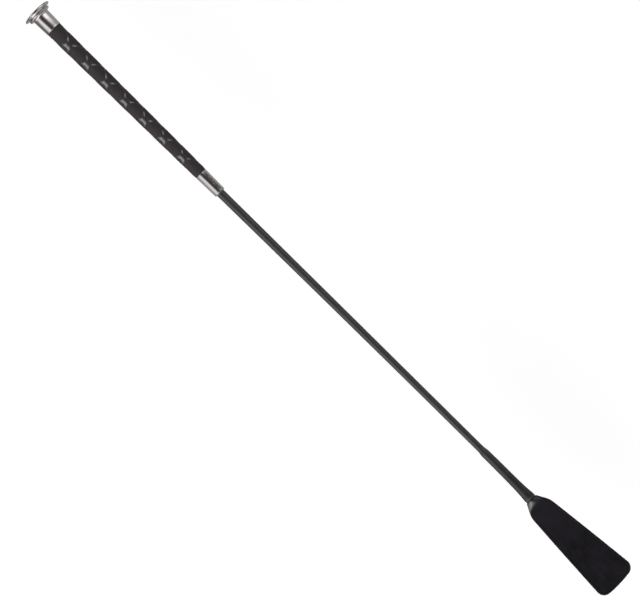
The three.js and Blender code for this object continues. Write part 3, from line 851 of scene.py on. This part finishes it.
def settle(x, y):
    """Bows the flap's end and leans the flap a little to one side."""
    bow = FLAP_END_BOW * (y / BLADE_HIGH[1]) ** 2 * ramp(x, BLADE_HIGH[0] - 40, BLADE_HIGH[0])
    lean = FLAP_SKEW * ramp(x, FLAP_START, FLAP_SHOULDER_END)
    return x - bow - lean * y, y + lean * (x - FLAP_START) + sideways_bow(x)


def leaf_place(x, y, share, relief, side):
    """Where a point of the flat leaf lies in the real one, by its share of the thickness.

    Round the rod the leaf is half an oval sleeve. Past the braid it opens out: the back soon closes
    on the other leaf, and the face stays arched until the shoulder.
    """
    past_braid = x - COVER_HIGH[0]
    emerged = ramp(past_braid, -0.4, 1.4)
    opened = ramp(past_braid, -0.4, 1.2)
    closed = ramp(past_braid, -4, 3)
    flattened = ramp(past_braid - 0.3 * np.abs(y), 1.5, 7)
    wide = cover_half_width(x) - TANG_DEPTH
    high = cover_half_height(x) - TANG_DEPTH * (1 - 0.5 * emerged)
    q = np.clip(y / leaf_half_width(x), -1, 1) * math.pi / 2
    face_y = lerp(wide * np.sin(q), y, opened)
    back_y = lerp((wide - TANG_THICKNESS) * np.sin(q), y, opened)
    face_z = lerp(high * np.cos(q) + LEAF_BACK, LEAF_FACE, flattened)
    back_z = (high - TANG_THICKNESS) * np.cos(q) * (1 - closed) + LEAF_BACK
    x, settled_y = settle(x, side * lerp(back_y, face_y, share))
    return np.stack([x, settled_y, side * (lerp(back_z, face_z, share) + relief)], axis=-1)


def face_relief(x, y, offset):
    """Rises and hollows of a leaf's face, in millimetres: the seam's groove and gentle unevenness."""
    on_flap = ramp(x, SEAM_START - 3, SEAM_START + 2)
    groove = -0.30 * np.exp(-(((offset - SEAM_INSET) / 0.42) ** 2)) * on_flap
    shoulders = 0.05 * np.exp(-(((offset - SEAM_INSET) / 1.3) ** 2)) * on_flap
    uneven = 0.05 * np.sin(x * 0.11 + y * 0.19) + 0.035 * np.sin(x * 0.23 - y * 0.31 + 1.7)
    return groove + shoulders + uneven * ramp(offset, 0.6, 4) * on_flap


def build_leaf(name, side, material):
    """One leather leaf, from the tang to the flap's end, with a rounded outer edge."""
    path, inward, down_count = outline()
    last_row, path_count = down_count - 1, len(path)
    border = path[:, None] + inward[:, None] * np.array(EDGE_OFFSETS)[:, None]
    left = border[:last_row, -1]
    right = border[::-1][:last_row, -1]
    middle = left[:, None] + (right - left)[:, None] * MIDDLE_SHARES[None, :, None]
    x, y = np.concatenate([border.reshape(-1, 2), middle.reshape(-1, 2)]).T
    border_offset = np.tile(EDGE_OFFSETS, path_count)
    offset = np.concatenate([border_offset, np.full(len(x) - len(border_offset), WELL_INSIDE)])

    rise = np.sqrt(1 - (1 - np.clip(offset / LEAF_EDGE_ROUND, 0, 1)) ** 2)
    face = leaf_place(x, y, lerp(0.62, 1, rise), face_relief(x, y, offset), side)
    back = leaf_place(x, y, 0, 0, side)
    rim = np.arange(path_count) * len(EDGE_OFFSETS)
    walls = [leaf_place(x[rim], y[rim], share, 0, side) for share in WALL_SHARES]
    points = np.concatenate([face, back, *walls])
    leaf = make_piece(name, points, leaf_quads(last_row, path_count, len(x)), material, sharp_angle=60)
    edge = np.concatenate([1 - ramp(offset, 0.4, 1.5), 1 - ramp(offset, 0.05, 0.3), np.ones(2 * path_count)])
    add_attribute(leaf, "edge", edge)
    return leaf


def leaf_quads(last_row, path_count, count):
    """Quads of a leaf's face, its back, the cut edge round both and the tang's end.

    The face's points come first, then as many of the back, then the two rows of the cut edge.
    """
    border = numbered(path_count, len(EDGE_OFFSETS))
    middle = middle_ids(border[:, -1], last_row)
    face = np.concatenate([strip(border), strip(middle)[:, ::-1]])
    rim = border[:, 0]
    back_wall, face_wall = (2 * count + k * path_count + np.arange(path_count) for k in (0, 1))
    wall = strip(np.stack([rim, face_wall, back_wall, rim + count], axis=1))[:, ::-1]
    start = np.concatenate([border[0], middle[0, 1:-1], border[-1, ::-1]])
    start_face = strip(np.stack([start, start + count], axis=1))
    start_edges = [[rim[0], face_wall[0], back_wall[0], rim[0] + count],
                   [rim[-1] + count, back_wall[-1], face_wall[-1], rim[-1]]]
    return np.concatenate([face, face[:, ::-1] + count, wall, start_face, start_edges])


def middle_ids(edge, last_row):
    """Vertex numbers of the leaf's middle, row by row, with the border's inner ring as its edge."""
    ids = np.empty((last_row + 1, LEAF_COLUMNS + 1), int)
    ids[:, 0] = edge[: last_row + 1]
    ids[:, -1] = edge[::-1][: last_row + 1]
    ids[:-1, 1:-1] = numbered(last_row, LEAF_COLUMNS - 1, first=len(edge) * len(EDGE_OFFSETS))
    ids[-1] = edge[last_row : last_row + LEAF_COLUMNS + 1]
    return ids


# ---- seam
SEAM_SAMPLES = 2400
STITCH_SHARES = np.linspace(0.06, 0.94, 13)  # the rings of a stitch, as shares of the stitch length
STITCH_SIDES = 10
STITCH_SLANT = 0.35
STITCH_SINK = 0.72  # of a stitch's two ends, below the leaf's face
STITCH_ARCH = 0.62
STITCH_TWISTS = 5


def seam_line():
    """Points every tenth of a millimetre or so along the seam, in the plane of the flap."""
    path, inward, _ = outline()
    line = path + inward * SEAM_INSET
    line = line[line[:, 0] >= SEAM_START - 1]
    travelled = np.concatenate([[0], np.cumsum(np.linalg.norm(np.diff(line, axis=0), axis=1))])
    even = np.linspace(0, travelled[-1], SEAM_SAMPLES)
    return np.stack([np.interp(even, travelled, line[:, k]) for k in (0, 1)], axis=1), travelled[-1]


def stitch_rings(line, k, count, side):
    """Rings of points along stitch k, which slants across the seam and arches out of its holes."""
    position = (k + STITCH_SHARES) / count * (len(line) - 1)
    centre = np.stack([np.interp(position, np.arange(len(line)), line[:, a]) for a in (0, 1)], axis=1)
    tangent = np.gradient(centre, axis=0)
    tangent /= np.linalg.norm(tangent, axis=1, keepdims=True)
    across = np.stack([-tangent[:, 1], tangent[:, 0]], axis=1)
    centre = centre + across * ((STITCH_SHARES - 0.5) * STITCH_SLANT)[:, None]
    arch = np.sin(math.pi * np.linspace(0, 1, len(STITCH_SHARES)))[:, None] ** 0.55
    thick = THREAD_RADIUS * (0.55 + 0.45 * arch)
    sideways = thick * np.cos(full_turn(STITCH_SIDES))
    x, y = (centre[:, a, None] + across[:, a, None] * sideways for a in (0, 1))
    x, y = settle(x, side * y)
    z = LEAF_FACE - STITCH_SINK + STITCH_ARCH * arch + thick * np.sin(full_turn(STITCH_SIDES))
    return np.stack([x, y, side * z], axis=-1)


def bar_quads(rows, columns):
    """Quads of a bar of rings. The middles of its two end rings follow the rings in number."""
    middle = np.full((1, columns), rows * columns)
    return tube(np.vstack([middle, numbered(rows, columns), middle + 1]))


def build_stitches(name, side, material):
    """A row of lock stitches: each is a short bar of thread that dips into its holes."""
    line, length = seam_line()
    count = int(length / STITCH_LENGTH)
    points = []
    for k in range(count):
        bar = stitch_rings(line, k, count, side)
        points += [bar.reshape(-1, 3), bar[[0, -1]].mean(axis=1)]
    bar_points = len(STITCH_SHARES) * STITCH_SIDES + 2
    quads = bar_quads(len(STITCH_SHARES), STITCH_SIDES)
    faces = np.concatenate([quads + k * bar_points for k in range(count)])
    stitches = make_piece(name, np.concatenate(points), faces, material)
    along, around = STITCH_SHARES[:, None] * STITCH_TWISTS, full_turn(STITCH_SIDES)[None] / math.pi
    fibre = np.stack(np.broadcast_arrays(along, around, 0.0), axis=-1).reshape(-1, 3)
    fibre = np.tile(np.concatenate([fibre, np.zeros((2, 3))]), (count, 1))
    add_attribute(stitches, "fibre", fibre)
    return stitches


# ---- putting the crop together
def place_piece(piece, body, slot, *nodes):
    """Hangs a piece on a body and hides the CAD nodes that it stands for."""
    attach(piece, body)
    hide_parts(*nodes)


def build_handle_and_shaft():
    nickel = nickel_material()
    metal = {"cap_crown": build_crown, "cap_collar": build_collar, "lower_ferrule": build_ferrule}
    for node, build in metal.items():
        place_piece(build(nickel), "shaft", "nickel_plate", node)
    place_piece(build_grip(rubber_material()), "shaft", "grip_rubber", "grip_sleeve")
    place_piece(build_braid(braid_material()), "shaft", "cover_braid", "braided_cover")


def build_flap():
    leather = leather_material()
    thread = thread_material()
    for face, side in (("front", 1), ("back", -1)):
        leaf = build_leaf(face + "_leather_leaf", side, leather)
        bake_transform(leaf)
        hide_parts(face + "_leaf_tang", face + "_leaf_blade")
        stitches = build_stitches(face + "_stitches", side, thread)
        place_piece(stitches, "flap", "seam_thread", face + "_seam_thread")


def finish_inner_nodes():
    """Materials for the CAD pieces that stay as they are, hidden inside the handle and shaft."""
    wood = (0.30, 0.17, 0.08, 1), (0.52, 0.34, 0.18, 1)
    glass = (0.55, 0.5, 0.38, 1), (0.68, 0.64, 0.5, 1)
    finishes = [
        (["cap_plug"], "plug_wood", *wood, (40, 900, 900), 0.7),
        (["crown_nail"], "nail_steel", grey(0.42), grey(0.6), (60, 1500, 1500), 0.35, 1.0),
        (["handle_core", "ferrule_bush"], "core_plastic", grey(0.02), grey(0.035), (300, 300, 300), 0.5),
        (["core_rod"], "rod_fibreglass", *glass, (15, 2500, 2500), 0.35),
        (["tang_binding"], "binding_thread", grey(0.012), grey(0.035), (4000, 200, 200), 0.5),
    ]
    for nodes, *finish in finishes:
        material = streaked_material(*finish)
        for node in nodes:
            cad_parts[node].material_slots[0].material = material


# ---- floor, light and camera
FLOOR_DROP = 95.0  # the flap can bend down this far
CAMERA_HEIGHT = 2510.0
CAMERA_TURN = math.radians(44.53)
VIEW_WIDTH = 508.3  # width of the picture at the crop
SENSOR_WIDTH = 36.0
VIEW_CENTRE_SHARE = 0.4941  # of the crop's length
VIEW_CENTRE_SIDE = -4.04
FLOOR_CENTRE = 300.0  # along X
FLOOR_SIZE = 8000.0
FLOOR_GLOW = 0.4
CEILING_LIGHT = 0.09
HORIZON_LIGHT = 0.32
# Each light is a band across the dome: the leans from straight up, in degrees, at which it starts,
# peaks and ends, and its strength. The lower ones are on the -Y side and the upper one on +Y.
LOWER_LIGHT = (-84, -50, -23), 1.3
LOWER_FILL = (-130, -70, -30), 0.75
UPPER_LIGHT = (5, 46, 99), 2.45
END_LIGHT = (26, 56, 92), 2.0  # beyond the flap's end, and only over the next band across
END_LIGHT_ACROSS = (-150, -70, 200), 1.0
LOWER_LIGHT_SHIFT = -12.0  # past the grip


def mirrored_floor(tree):
    """How bright the floor is in reflections, by its place along and beside the crop."""
    axes = add(tree, "SeparateXYZ", {"Vector": add(tree, "TexCoord")["Object"]})
    lower_side = fade(tree, axes["X"], (80, 180), 0.18, 0.48, origin=-FLOOR_CENTRE)
    level = mix_value(tree, fade(tree, axes["Y"], (-160, -60), 0, 1), lower_side, 0.36)
    level = mix_value(tree, fade(tree, axes["Y"], (100, 220), 0, 1), level, 0.52)
    return multiply(tree, level, fade(tree, axes["X"], (-200, -40), 0.4, 1, origin=-FLOOR_CENTRE))


def floor_material():
    """A pale light table: it glows to the camera, and looks like grey card in the metal's reflections."""
    material, tree = new_tree("studio_floor")
    rays = add(tree, "LightPath")
    colour = mix_colour(tree, rays["Is Glossy Ray"], grey(0.9), grey(0.1))
    glow = multiply(tree, rays["Is Camera Ray"], FLOOR_GLOW)
    glow = mix_value(tree, rays["Is Glossy Ray"], glow, mirrored_floor(tree))
    shade(tree, {"Base Color": colour, "Roughness": 0.9, "Specular IOR Level": 0.0})
    shade(tree, {"Emission Strength": glow, "Emission Color": grey(1.0)})
    return material


def build_floor():
    bpy.ops.mesh.primitive_plane_add(size=FLOOR_SIZE * MM, location=(FLOOR_CENTRE * MM, 0, -FLOOR_DROP * MM))
    floor = bpy.context.object
    floor.name = "studio_floor"
    floor.data.materials.append(floor_material())


def lean_angle(tree, side, up):
    """The lean of a direction from straight up towards an axis, in degrees."""
    return multiply(tree, maths(tree, "ARCTAN2", side, up), 180 / math.pi)


def light_band(tree, angle, light):
    """The brightness of one light at an angle across it."""
    (start, peak, end), strength = light
    rise = remap(tree, angle, start, peak, 0, 1, interpolation_type="SMOOTHSTEP")
    fall = remap(tree, angle, end, peak, 0, 1, interpolation_type="SMOOTHSTEP")
    return multiply(tree, multiply(tree, rise, fall), strength)


def build_light():
    """A studio dome with a long soft light on each side of the crop and a dark ceiling between them.

    Round pieces keep the lean along X of the camera's rays that they reflect, so a direction's X
    tells which part is lit from there, from -0.13 at the cap to 0.13 at the flap's end.
    """
    world = bpy.data.worlds.new("studio")
    bpy.context.scene.world = world
    world.use_nodes = True
    tree = world.node_tree
    parts = add(tree, "SeparateXYZ", {"Vector": add(tree, "TexCoord")["Generated"]})
    sideways = lean_angle(tree, parts["Y"], parts["Z"])
    endways = lean_angle(tree, parts["X"], parts["Z"])

    past_grip = remap(tree, parts["X"], -0.06, -0.03, 0, 1)
    lower_angle = maths(tree, "ADD", sideways, multiply(tree, past_grip, LOWER_LIGHT_SHIFT))
    past_cap = remap(tree, parts["X"], -0.11, -0.07, 0, 1)
    lower_fill = multiply(tree, light_band(tree, sideways, LOWER_FILL), past_cap)
    lower_side = maths(tree, "ADD", light_band(tree, lower_angle, LOWER_LIGHT), lower_fill)
    near_cap = remap(tree, parts["X"], -0.076, -0.058, 1, 0)
    near_cap = multiply(tree, near_cap, remap(tree, parts["X"], -0.32, -0.16, 0.12, 1))
    upper_side = multiply(tree, light_band(tree, sideways, UPPER_LIGHT), near_cap)
    across = light_band(tree, sideways, END_LIGHT_ACROSS)
    past_flap = multiply(tree, light_band(tree, endways, END_LIGHT), across)

    total = remap(tree, parts["Z"], 0.6, 0.0, CEILING_LIGHT, HORIZON_LIGHT)
    total = multiply(tree, total, remap(tree, parts["X"], -0.8, -0.2, 0.2, 1))
    upper_dim = mix_value(tree, past_grip, 1.0, remap(tree, sideways, 0, 20, 1, 0.5))
    total = multiply(tree, total, upper_dim)
    for light in (lower_side, upper_side, past_flap):
        total = maths(tree, "ADD", total, light)
    camera_ray = add(tree, "LightPath")["Is Camera Ray"]
    background = {"Strength": mix_value(tree, camera_ray, total, 1.0), "Color": (1, 1, 1, 1)}
    set_inputs(tree, tree.nodes["Background"], background)


def build_camera():
    """Square above the crop, turned so that it runs down the picture's diagonal."""
    camera = bpy.data.objects.new("camera", bpy.data.cameras.new("camera"))
    bpy.context.scene.collection.objects.link(camera)
    camera.location = (BLADE_HIGH[0] * VIEW_CENTRE_SHARE * MM, VIEW_CENTRE_SIDE * MM, CAMERA_HEIGHT * MM)
    camera.rotation_euler = (0, 0, CAMERA_TURN)
    camera.data.sensor_width = SENSOR_WIDTH
    camera.data.lens = SENSOR_WIDTH * CAMERA_HEIGHT / VIEW_WIDTH
    camera.data.clip_end = 50
    bpy.context.scene.camera = camera


build_handle_and_shaft()
build_flap()
finish_inner_nodes()
build_floor()
build_light()
build_camera()
bpy.context.scene.view_settings.view_transform = "Standard"
